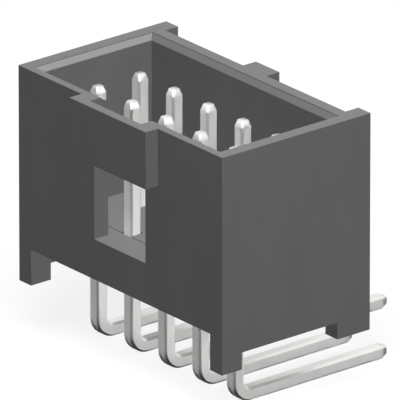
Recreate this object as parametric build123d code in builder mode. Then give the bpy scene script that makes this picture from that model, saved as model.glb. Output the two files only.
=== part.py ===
from build123d import *
import os

# Right-angle shrouded pin header: a moulded box, open at the top, round two rows of square contacts
# that bend under its floor and run out past its back face into a circuit board.
# X runs along the rows, +Y towards the board and +Z out of the mating opening.
# The origin is under the middle of the part, level with the underside of the lowest tails.

# Grid of the contacts
pitch = 2.54
columns = 5

# Contact wire
wire = 0.64
wire_corner = 0.1  # flats along the drawn wire's edges
bend_radius = 0.75  # to the middle of the wire
tip_length = 0.3  # blunt taper at both ends of a contact
tip_flat = 0.42  # width left at its end
swage_length = 0.9
swage_width = 0.4

# Shroud, seen from above
wall = 0.84  # long walls
end_wall = 0.9
end_margin = 2.47  # from the middle of an end contact to the end of the shroud
row_margin = 2.8  # from the middle of a row to the long face beside it
standoff = 0.78  # how far the ears and the rib keep the back face off the board
rib_width = 1.75
hole_clearance = 0.05  # round the wire in the floor

# Shroud, heights above its feet
height = 10.9
floor_top = 3.3
floor_bottom = 1.83
side_bottom = 0.85
front_foot = 1.2  # length of the front feet, along Y
back_foot = 1.97
rim_step = 0.045  # shallow step inside the flat top of the walls
lead_in = 0.24  # width of the sloping lead-in below that step
front_lead_in = 0.42  # the same on the key slot's wall
lead_in_depth = 0.26  # height of both lead-ins
floor_step = 0.05  # the floor is this much lower in front of the contact holes

# Key slot, its bridge and the latch window below it
key_width = 3.78
bridge_wall = 0.935
bridge_out = 0.73
bridge_bottom = 8.02
sill = 3.87

# Ends of the contacts
contact_top = 9.92  # above the feet
tail_drop = 2.54  # from the feet down to the middle of the lower tails
tail_reach = 2.9  # past the board's face

# Levels
foot_z = wire / 2 + tail_drop
rim_z = foot_z + height
floor_top_z = foot_z + floor_top
floor_bottom_z = foot_z + floor_bottom
side_bottom_z = foot_z + side_bottom
bridge_bottom_z = foot_z + bridge_bottom
sill_z = foot_z + sill
contact_top_z = foot_z + contact_top
lead_in_top_z = rim_z - rim_step
lower_tail_z = wire / 2
upper_tail_z = lower_tail_z + pitch

# Plan
length = (columns - 1) * pitch + 2 * end_margin
depth = pitch + 2 * row_margin
front_y = bridge_out - (bridge_out + depth + standoff + tail_reach) / 2
back_y = front_y + depth
board_y = back_y + standoff
tail_end_y = board_y + tail_reach
front_row_y = front_y + row_margin
back_row_y = front_row_y + pitch
middle_y = (front_y + back_y) / 2
hole = wire + 2 * hole_clearance


with BuildPart() as housing:
    # Front wall, back wall and floor as one block
    with BuildSketch(Plane.XY.offset(floor_bottom_z)):
        with Locations((0, middle_y)):
            Rectangle(length, depth)
    extrude(amount=rim_z - floor_bottom_z)

    # Side walls, with their feet and the ears that stand on the board
    with BuildSketch(Plane.YZ.offset(length / 2 - end_wall)):
        with BuildLine():
            Polyline(
                (front_y, foot_z),
                (front_y + front_foot, foot_z),
                (front_y + front_foot, side_bottom_z),
                (board_y - back_foot, side_bottom_z),
                (board_y - back_foot, foot_z),
                (board_y, foot_z),
                (board_y, rim_z),
                (front_y, rim_z),
                close=True,
            )
        make_face()
    side_wall = extrude(amount=end_wall)
    mirror(side_wall, about=Plane.YZ)

    # Rib in the middle of the back wall, level with the ears
    with BuildSketch(Plane.XY.offset(floor_bottom_z)):
        with Locations((0, back_y)):
            Rectangle(rib_width, standoff, align=(Align.CENTER, Align.MIN))
    extrude(amount=rim_z - floor_bottom_z)

    # Mating cavity
    with BuildSketch(Plane.XY.offset(floor_top_z)):
        with Locations((0, middle_y)):
            Rectangle(length - 2 * end_wall, depth - 2 * wall)
    extrude(amount=rim_z - floor_top_z, mode=Mode.SUBTRACT)

    # Lower strip of its floor, up to the front row of contact holes
    with BuildSketch(Plane.XY.offset(floor_top_z - floor_step)):
        with Locations((0, front_y + wall)):
            Rectangle(length - 2 * end_wall, row_margin - hole / 2 - wall, align=(Align.CENTER, Align.MIN))
    extrude(amount=floor_step, mode=Mode.SUBTRACT)

    # Mouth of the cavity: a shallow step and a sloping lead-in, wider over the key slot's wall
    mouth_width = length - 2 * (end_wall - lead_in)
    mouth_front = front_y + wall - front_lead_in
    mouth_back = back_y - wall + lead_in
    with BuildSketch(Plane.XY.offset(lead_in_top_z - lead_in_depth)):
        with Locations((0, middle_y)):
            Rectangle(length - 2 * end_wall, depth - 2 * wall)
    with BuildSketch(Plane.XY.offset(lead_in_top_z)) as mouth:
        with Locations((0, (mouth_front + mouth_back) / 2)):
            Rectangle(mouth_width, mouth_back - mouth_front)
    loft(mode=Mode.SUBTRACT)
    extrude(mouth.sketch, amount=rim_step, mode=Mode.SUBTRACT)

    # Bridge over the key slot
    with BuildSketch(Plane.XY.offset(bridge_bottom_z)):
        with Locations((0, front_y)):
            Rectangle(key_width + 2 * bridge_wall, bridge_out, align=(Align.CENTER, Align.MAX))
    extrude(amount=rim_z - bridge_bottom_z)

    # Latch window and key slot, one opening through the front wall up to the rim
    with BuildSketch(Plane.XY.offset(sill_z)):
        with Locations((0, front_y)):
            Rectangle(key_width, wall, align=(Align.CENTER, Align.MIN))
    extrude(amount=rim_z - sill_z, mode=Mode.SUBTRACT)

    # The same step and lead-in inside the top of the bridge
    with BuildSketch(Plane.YZ):
        with BuildLine():
            Polyline(
                (front_y, rim_z),
                (front_y - lead_in, rim_z),
                (front_y - lead_in, lead_in_top_z),
                (front_y, lead_in_top_z - lead_in_depth),
                close=True,
            )
        make_face()
    extrude(amount=key_width / 2, both=True, mode=Mode.SUBTRACT)

    # Contact holes in the floor
    with BuildSketch(Plane.XY.offset(floor_bottom_z)):
        with Locations((0, front_row_y), (0, back_row_y)):
            with GridLocations(pitch, pitch, columns, 1):
                Rectangle(hole, hole)
    extrude(amount=floor_top_z - floor_bottom_z, mode=Mode.SUBTRACT)


def make_contact(x, row_y, tail_z):
    """One contact: a post, a right-angle bend under the floor and a tail towards the board."""
    post_end = Plane((x, row_y, contact_top_z - tip_length))
    tail_end = Plane((x, tail_end_y - tip_length, tail_z), x_dir=(1, 0, 0), z_dir=(0, 1, 0))
    with BuildPart() as contact:
        # Straight post, bend and straight tail
        with BuildLine():
            FilletPolyline(
                post_end.origin,
                (x, row_y, tail_z),
                tail_end.origin,
                radius=bend_radius,
            )
        with BuildSketch(post_end):
            section = Rectangle(wire, wire)
            chamfer(section.vertices(), wire_corner)
        sweep()

        # Blunt coined taper at each end
        for end in (post_end, tail_end):
            for rise, width in ((0, wire), (tip_length, tip_flat)):
                with BuildSketch(end.offset(rise)):
                    section = Rectangle(width, width)
                    chamfer(section.vertices(), wire_corner * width / wire)
            loft()

        # Swaged wings that grip the hole in the floor
        with BuildSketch(Plane.XZ.offset(-row_y)):
            with Locations((x, (floor_top_z + floor_bottom_z) / 2)):
                swage = Rectangle(hole, swage_length)
            chamfer(swage.vertices(), hole_clearance)
        extrude(amount=swage_width / 2, both=True)
    return contact.part


os.makedirs("parts", exist_ok=True)

housing.part.label = "housing"
export_step(housing.part, "parts/housing.step")

rows = {"front": (front_row_y, lower_tail_z), "back": (back_row_y, upper_tail_z)}
for row, (row_y, tail_z) in rows.items():
    for column in range(columns):
        post = make_contact((column - (columns - 1) / 2) * pitch, row_y, tail_z)
        post.label = f"{row}_contact_{column + 1}"
        export_step(post, f"parts/{post.label}.step")
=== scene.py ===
import math

import bpy
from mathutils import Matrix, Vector


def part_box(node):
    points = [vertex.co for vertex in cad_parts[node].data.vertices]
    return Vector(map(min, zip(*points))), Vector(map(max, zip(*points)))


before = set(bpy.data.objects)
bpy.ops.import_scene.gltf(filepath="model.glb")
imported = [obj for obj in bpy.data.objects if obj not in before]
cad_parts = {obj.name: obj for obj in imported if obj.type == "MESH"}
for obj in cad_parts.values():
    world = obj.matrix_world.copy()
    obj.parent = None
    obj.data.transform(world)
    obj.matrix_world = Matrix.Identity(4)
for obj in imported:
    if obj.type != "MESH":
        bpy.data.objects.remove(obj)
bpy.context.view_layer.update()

# Looks for a right-angle shrouded pin header: a dark moulded shroud round tin-plated square contacts.
# Everything is in metres, in the part's own frame: X along the rows, +Y towards the board, +Z up.
# Azimuth 0 is -Y, in front of the part, and 90 is +X. Azimuths and elevations are in degrees.

MM = 0.001

# Camera: the photograph is close to a parallel projection, so the lens is very long
camera_azimuth = 50.856
camera_elevation = 22.008
camera_lens = 1500  # millimetres, like the sensor
camera_sensor = 36
camera_distance = 780.9 * MM
camera_clip_start = 10 * MM
camera_clip_end = 10000 * MM
aim_height = 6.9 * MM  # above the floor, on the part's upright axis
aim_right = -0.556 * MM  # and from there across the picture
aim_up = 0.915 * MM

# Floor and backdrop
floor_size = 4000 * MM
floor_tone = 0.3
floor_glow = 0.84  # what the white backdrop adds to the lit floor
painted_reflection_shade = 0.97  # painted shade in reflections: how much of the floor's light they lose on one side
dark_azimuth = 51  # the middle of that side
dark_reach = 12 * MM  # how far the dark side goes beyond the part's middle
dark_start = -1.0  # cosine of the angle from its middle, seen from its far end, at which it fades in
dark_full = -0.25  # and at which it is fully dark
world_fill = 0.05  # light that reaches the part from all round

# Lamps
lamps_aim = Vector((0, 0, 7 * MM))
lamp_distance = 240 * MM
# Name, azimuth, elevation, width, height, power, what it lights and whether that casts shadows
lamps = [
    ("key", 53, 62, 160 * MM, 160 * MM, 0.67, "part", False),
    ("floor_key", 48, 58, 160 * MM, 160 * MM, 0.5, "floor", True),
    ("right_rim", 144, 43, 120 * MM, 120 * MM, 0.42, "housing", False),
    ("left_rim", -60, 34, 120 * MM, 120 * MM, 0.065, "housing", False),
    ("left_fill", -98, -4, 160 * MM, 160 * MM, 0.09, "housing", False),
    ("left_strip", -51, -18, 110 * MM, 440 * MM, 0.063, "contacts", False),
    ("right_strip", 142, -10, 210 * MM, 320 * MM, 0.14, "contacts", False),
    ("corner_strip", 39, -10, 110 * MM, 320 * MM, 0.025, "contacts", False),
    ("back_strip", -135, -26, 160 * MM, 180 * MM, 0.03, "contacts", False),
]

# Edges
edge_round = 0.02 * MM  # moulded edges, less than half of the rim's step
wire_round = 0.05 * MM
round_segments = 2
weld_distance = 0.001 * MM
flat_angle = math.radians(1)  # faces closer to one plane than this are joined
round_angle = math.radians(20)  # edges sharper than this are rounded
smooth_angle = math.radians(30)  # and those that are still sharper than this are shaded sharp

# Moulded plastic, with noise scales in features per metre
housing_tone = (0.13, 0.13, 0.131)
housing_shades = (0.86, 1.14)  # its darkest and lightest clouds, as factors
housing_roughness = (0.5, 0.62)
housing_specular = 0.22
flow_scale = 0.5 / MM
flow_stretch = (1, 1, 0.35)  # flow marks are longer along the mould's opening
grain_scale = 9 / MM
grain_depth = 0.012 * MM
grain_strength = 0.22
speck_scale = 22 / MM
speck_in_tone = 0.4  # share of the specks in the clouds of the tone
speck_in_grain = 0.5  # height of the specks against the grain's
lead_in_lean = 0.76  # upward part of the directions that the sloping lead-ins face
lead_in_spread = 0.1  # either side of that
lead_in_polish = 0.24  # what those faces lose in roughness

# Tinned wire
metal_tone = (0.84, 0.835, 0.82)
metal_shades = (0.9, 1.06)
metal_roughness = (0.27, 0.38)
cloud_scale = 1.5 / MM
line_scale = 30 / MM
line_stretch = 0.03  # drawing lines are long along the wire
line_depth = 0.004 * MM
line_strength = 0.12
line_in_gloss = 0.4  # share of the lines in the changes of tone and gloss
bend_height = 1.1 * MM  # from the underside of a tail to where its bend has become the post
turn_height = 0.5 * MM  # over which the lines then turn up along the post


def direction(azimuth, elevation):
    """Unit vector towards a place seen from the part."""
    a, e = math.radians(azimuth), math.radians(elevation)
    return Vector((math.sin(a) * math.cos(e), -math.cos(a) * math.cos(e), math.sin(e)))


class Nodes:
    """Short calls for building a material's or the world's node tree."""

    def __init__(self, owner):
        owner.use_nodes = True
        self.tree = owner.node_tree
        self.tree.nodes.clear()

    def add(self, kind, settings=None, **inputs):
        """Adds a node; inputs are values or (node, output) pairs, with spaces in names as underscores."""
        node = self.tree.nodes.new(kind)
        for name, value in (settings or {}).items():
            setattr(node, name, value)
        for name, value in inputs.items():
            socket = self.socket(node, name)
            if isinstance(value, tuple) and isinstance(value[0], bpy.types.Node):
                self.tree.links.new(value[0].outputs[value[1]], socket)
            else:
                socket.default_value = value
        return node

    @staticmethod
    def socket(node, name):
        """The input of that name, or in_0, in_1 and so on by its place."""
        if name.startswith("in_"):
            return node.inputs[int(name[3:])]
        return node.inputs[name.replace("_", " ")]

    def math(self, operation, first, second):
        return self.add("ShaderNodeMath", {"operation": operation}, in_0=first, in_1=second), 0

    def share(self, first, second, part):
        """Adds up that part of the second value and the rest of the first."""
        return self.math("ADD", self.math("MULTIPLY", first, 1 - part), self.math("MULTIPLY", second, part))

    def vector(self, operation, first, second=(0, 0, 0)):
        """Vector arithmetic, whose result is the node's second output if it is a number."""
        node = self.add("ShaderNodeVectorMath", {"operation": operation}, in_0=first, in_1=second)
        return node, 1 if operation == "DOT_PRODUCT" else 0

    def noise(self, vector, scale, detail):
        """Noise from 0 to 1 whose features are about 1/scale metres across."""
        return self.add("ShaderNodeTexNoise", Vector=vector, Scale=scale, Detail=detail), "Fac"

    def span(self, value, low, high):
        """Maps 0..1 to low..high."""
        return self.add("ShaderNodeMapRange", Value=value, To_Min=low, To_Max=high), 0

    def blend(self, factor, first, second):
        """Mixes two colours, whose sockets on the node are the seventh and eighth."""
        colours = {"in_6": (*first, 1), "in_7": (*second, 1)}
        return self.add("ShaderNodeMix", {"data_type": "RGBA"}, in_0=factor, **colours), 2


def shades(tone, factors):
    """A colour multiplied by each of the factors."""
    return [tuple(c * factor for c in tone) for factor in factors]


def moulded_plastic():
    """Dark glass-filled plastic: a fine satin grain with faint cloudy flow in its colour and gloss."""
    material = bpy.data.materials.new("moulded_plastic")
    n = Nodes(material)
    place = (n.add("ShaderNodeTexCoord"), "Object")
    flow = n.noise(n.vector("MULTIPLY", place, flow_stretch), flow_scale, detail=3.0)
    grain = n.noise(place, grain_scale, detail=3.0)
    speck = n.noise(place, speck_scale, detail=1.0)
    surface = n.math("ADD", grain, n.math("MULTIPLY", speck, speck_in_grain))
    bump = n.add("ShaderNodeBump", Strength=grain_strength, Distance=grain_depth, Height=surface)

    # The sloping lead-ins are told from other faces by how far they face up
    facing = n.add("ShaderNodeSeparateXYZ", Vector=(n.add("ShaderNodeTexCoord"), "Normal"))
    lead_in = n.add(
        "ShaderNodeMath",
        {"operation": "COMPARE"},
        in_0=(facing, "Z"),
        in_1=lead_in_lean,
        in_2=lead_in_spread,
    )
    polish = n.math("MULTIPLY", (lead_in, 0), lead_in_polish)

    shader = n.add(
        "ShaderNodeBsdfPrincipled",
        Base_Color=n.blend(n.share(flow, speck, speck_in_tone), *shades(housing_tone, housing_shades)),
        Roughness=n.math("SUBTRACT", n.span(flow, *housing_roughness), polish),
        Specular_IOR_Level=housing_specular,
        Normal=(bump, 0),
    )
    n.add("ShaderNodeOutputMaterial", Surface=(shader, 0))
    return material


def tinned_wire(row):
    """Tin plating on drawn wire: bright but not mirror-like, with fine lines along the wire."""
    material = bpy.data.materials.new(f"tinned_wire_{row}")
    n = Nodes(material)
    place = (n.add("ShaderNodeTexCoord"), "Object")
    up_lines = n.noise(n.vector("MULTIPLY", place, (1, 1, line_stretch)), line_scale, detail=2.0)
    out_lines = n.noise(n.vector("MULTIPLY", place, (1, line_stretch, 1)), line_scale, detail=2.0)

    # The lines run out along the tail below the top of its bend, and up along the post above it
    bend_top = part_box(f"{row}_contact_1")[0].z + bend_height
    height = n.add("ShaderNodeSeparateXYZ", Vector=place)
    in_post = n.add(
        "ShaderNodeMapRange",
        Value=(height, "Z"),
        From_Min=bend_top,
        From_Max=bend_top + turn_height,
    )
    lines = (n.add("ShaderNodeMix", in_0=(in_post, 0), in_2=out_lines, in_3=up_lines), 0)

    finish = n.share(n.noise(place, cloud_scale, detail=3.0), lines, line_in_gloss)
    bump = n.add("ShaderNodeBump", Strength=line_strength, Distance=line_depth, Height=lines)
    shader = n.add(
        "ShaderNodeBsdfPrincipled",
        Base_Color=n.blend(finish, *shades(metal_tone, metal_shades)),
        Metallic=1.0,
        Roughness=n.span(finish, *metal_roughness),
        Normal=(bump, 0),
    )
    n.add("ShaderNodeOutputMaterial", Surface=(shader, 0))
    return material


def backdrop_rays(n):
    """1 for rays that see the backdrop, from the camera, gloss or glass; then 1 for those from gloss."""
    rays = n.add("ShaderNodeLightPath")
    glossy = (rays, "Is Glossy Ray")
    seen = n.math("MAXIMUM", (rays, "Is Camera Ray"), glossy)
    return n.math("MAXIMUM", seen, (rays, "Is Transmission Ray")), glossy


def pale_floor():
    """Lit floor that keeps shadows, lifted to white; reflections see it darker on one side, a painted
    shade.
    """
    material = bpy.data.materials.new("pale_floor")
    n = Nodes(material)
    seen, glossy = backdrop_rays(n)

    # Cosine of the angle from the middle of the dark side, seen from that side's far end
    flat = n.vector("MULTIPLY", (n.add("ShaderNodeNewGeometry"), "Position"), (1, 1, 0))
    toward = direction(dark_azimuth, 0)
    from_end = n.vector("ADD", flat, tuple(toward * dark_reach))
    cosine = n.vector("DOT_PRODUCT", n.vector("NORMALIZE", from_end), tuple(toward))
    # Painted shade: gloss rays see the floor fade to black on this side
    dark = n.add(
        "ShaderNodeMapRange",
        Value=cosine,
        From_Min=dark_start,
        From_Max=dark_full,
        To_Max=painted_reflection_shade,
    )

    lit = n.add("ShaderNodeBsdfDiffuse", Color=(floor_tone, floor_tone, floor_tone, 1))
    white = n.add("ShaderNodeEmission", Strength=n.math("MULTIPLY", seen, floor_glow))
    black = n.add("ShaderNodeEmission", Strength=0.0)
    shader = n.add(
        "ShaderNodeMixShader",
        in_0=n.math("MULTIPLY", (dark, 0), glossy),
        in_1=(n.add("ShaderNodeAddShader", in_0=(lit, 0), in_1=(white, 0)), 0),
        in_2=(black, 0),
    )
    n.add("ShaderNodeOutputMaterial", Surface=(shader, 0))
    return material


def add_floor():
    """A plain floor under the lowest tails."""
    half = floor_size / 2
    mesh = bpy.data.meshes.new("floor")
    corners = [(-half, -half, 0), (half, -half, 0), (half, half, 0), (-half, half, 0)]
    mesh.from_pydata(corners, [], [(0, 1, 2, 3)])
    mesh.materials.append(pale_floor())
    floor = bpy.data.objects.new("floor", mesh)
    bpy.context.scene.collection.objects.link(floor)
    return floor


def add_world():
    """White behind everything and in reflections, and a weak even fill elsewhere."""
    world = bpy.data.worlds.new("studio")
    bpy.context.scene.world = world
    n = Nodes(world)
    seen, _ = backdrop_rays(n)
    shader = n.add("ShaderNodeBackground", Color=(1, 1, 1, 1), Strength=n.span(seen, world_fill, 1.0))
    n.add("ShaderNodeOutputWorld", Surface=(shader, 0))


def add_lamp(name, azimuth, elevation, width, height, power, group, shadow):
    """A soft lamp that faces the part, with its power in watts and the group of objects it lights."""
    data = bpy.data.lights.new(name, "AREA")
    data.shape = "RECTANGLE"
    data.size = width
    data.size_y = height
    data.energy = power
    data.use_shadow = shadow
    # The part still stops the rays that gloss sends out, so a shadowless lamp is sampled without them
    data.cycles.use_multiple_importance_sampling = shadow
    lamp = bpy.data.objects.new(name, data)
    toward = direction(azimuth, elevation)
    lamp.location = lamps_aim + toward * lamp_distance
    lamp.rotation_euler = (-toward).to_track_quat("-Z", "Y").to_euler()
    bpy.context.scene.collection.objects.link(lamp)
    lamp.light_linking.receiver_collection = group


def add_group(name, members):
    """A named group of objects for lamps that light only those."""
    group = bpy.data.collections.new(name)
    for member in members:
        group.objects.link(member)
    return group


def add_camera():
    """The photograph's viewing angle and framing."""
    data = bpy.data.cameras.new("camera")
    data.lens = camera_lens
    data.sensor_width = camera_sensor
    data.clip_start = camera_clip_start
    data.clip_end = camera_clip_end
    camera = bpy.data.objects.new("camera", data)
    back = direction(camera_azimuth, camera_elevation)
    turn = (-back).to_track_quat("-Z", "Y")
    right, up = turn @ Vector((1, 0, 0)), turn @ Vector((0, 1, 0))
    aim = Vector((0, 0, aim_height)) + right * aim_right + up * aim_up
    camera.rotation_mode = "QUATERNION"
    camera.rotation_quaternion = turn
    camera.location = aim + back * camera_distance
    bpy.context.scene.collection.objects.link(camera)
    bpy.context.scene.camera = camera


def smooth_by_angle():
    """Geometry nodes that shade faces smooth and keep edges sharp past the smooth angle."""
    tree = bpy.data.node_groups.new("smooth_by_angle", "GeometryNodeTree")
    tree.interface.new_socket("Geometry", in_out="INPUT", socket_type="NodeSocketGeometry")
    tree.interface.new_socket("Geometry", in_out="OUTPUT", socket_type="NodeSocketGeometry")
    nodes, links = tree.nodes, tree.links
    source, result = nodes.new("NodeGroupInput"), nodes.new("NodeGroupOutput")
    faces, edges = nodes.new("GeometryNodeSetShadeSmooth"), nodes.new("GeometryNodeSetShadeSmooth")
    edges.domain = "EDGE"
    edges.inputs["Shade Smooth"].default_value = False
    angle, sharp = nodes.new("GeometryNodeInputMeshEdgeAngle"), nodes.new("FunctionNodeCompare")
    sharp.operation = "GREATER_THAN"
    sharp.inputs[1].default_value = smooth_angle
    links.new(angle.outputs[0], sharp.inputs[0])
    links.new(source.outputs[0], faces.inputs["Geometry"])
    links.new(faces.outputs[0], edges.inputs["Geometry"])
    links.new(sharp.outputs[0], edges.inputs["Selection"])
    links.new(edges.outputs[0], result.inputs[0])
    return tree


def soften_edges(node, radius, smooth_tree):
    """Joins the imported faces, rounds the sharp edges a little and shades the result smooth."""
    weld = node.modifiers.new("weld", "WELD")
    weld.merge_threshold = weld_distance
    flat = node.modifiers.new("flat", "DECIMATE")
    flat.decimate_type = "DISSOLVE"
    flat.angle_limit = flat_angle
    bevel = node.modifiers.new("round", "BEVEL")
    bevel.width = radius
    bevel.segments = round_segments
    bevel.limit_method = "ANGLE"
    bevel.angle_limit = round_angle
    bevel.harden_normals = False
    smooth = node.modifiers.new("smooth", "NODES")
    smooth.node_group = smooth_tree
    node.modifiers.new("normals", "WEIGHTED_NORMAL").keep_sharp = True


def dress(nodes, material, radius, smooth_tree):
    """Gives CAD pieces their material and soft edges."""
    for node in nodes:
        node.data.materials.clear()
        node.data.materials.append(material)
        soften_edges(node, radius, smooth_tree)


bpy.context.scene.view_settings.view_transform = "Standard"

# The CAD pieces
smooth_tree = smooth_by_angle()
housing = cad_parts["housing"]
dress([housing], moulded_plastic(), edge_round, smooth_tree)
contacts = []
for row in ("front", "back"):
    row_contacts = [node for name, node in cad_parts.items() if name.startswith(row)]
    dress(row_contacts, tinned_wire(row), wire_round, smooth_tree)
    contacts += row_contacts

# The studio
floor = add_floor()
lit_groups = {
    "part": add_group("lit_part", [housing, *contacts]),
    "housing": add_group("lit_housing", [housing]),
    "contacts": add_group("lit_contacts", contacts),
    "floor": add_group("lit_floor", [floor]),
}
add_world()
for *lamp, lit, shadow in lamps:
    add_lamp(*lamp, lit_groups[lit], shadow)
add_camera()
